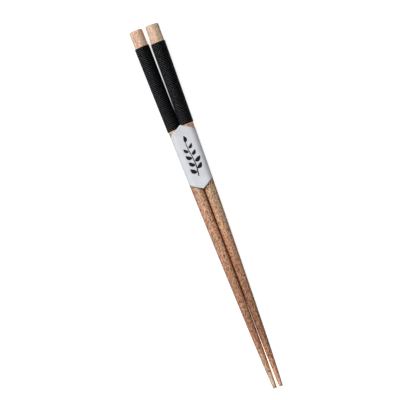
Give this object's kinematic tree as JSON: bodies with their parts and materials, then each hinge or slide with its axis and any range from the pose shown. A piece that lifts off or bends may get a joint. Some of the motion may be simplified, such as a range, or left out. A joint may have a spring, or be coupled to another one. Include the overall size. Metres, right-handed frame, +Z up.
{
  "type": "pair of chopsticks",
  "caption": "Pair of round tapered wooden chopsticks lying side by side, handles wound with black thread, held by a white paper band with a pointed front.",
  "frame": {"origin": "on the surface the pair lies on, under the middle of the pair's box", "axes": "+Y along the sticks from the tips to the butt ends, +X across the pair to the right seen from above with the butts away from the viewer, +Z up from the surface"},
  "size_m": [0.0186, 0.225, 0.0093],
  "materials": {
    "wood": "fine sanded reddish brown hardwood with a thin satin coat",
    "thread": "black waxed thread, tightly wound",
    "paper": "smooth white paper"
  },
  "bodies": {
    "root": {"left_chopstick": "wood", "right_chopstick": "wood", "left_thread_wrap": "thread", "right_thread_wrap": "thread", "paper_band": "paper"}
  },
  "joints": []
}
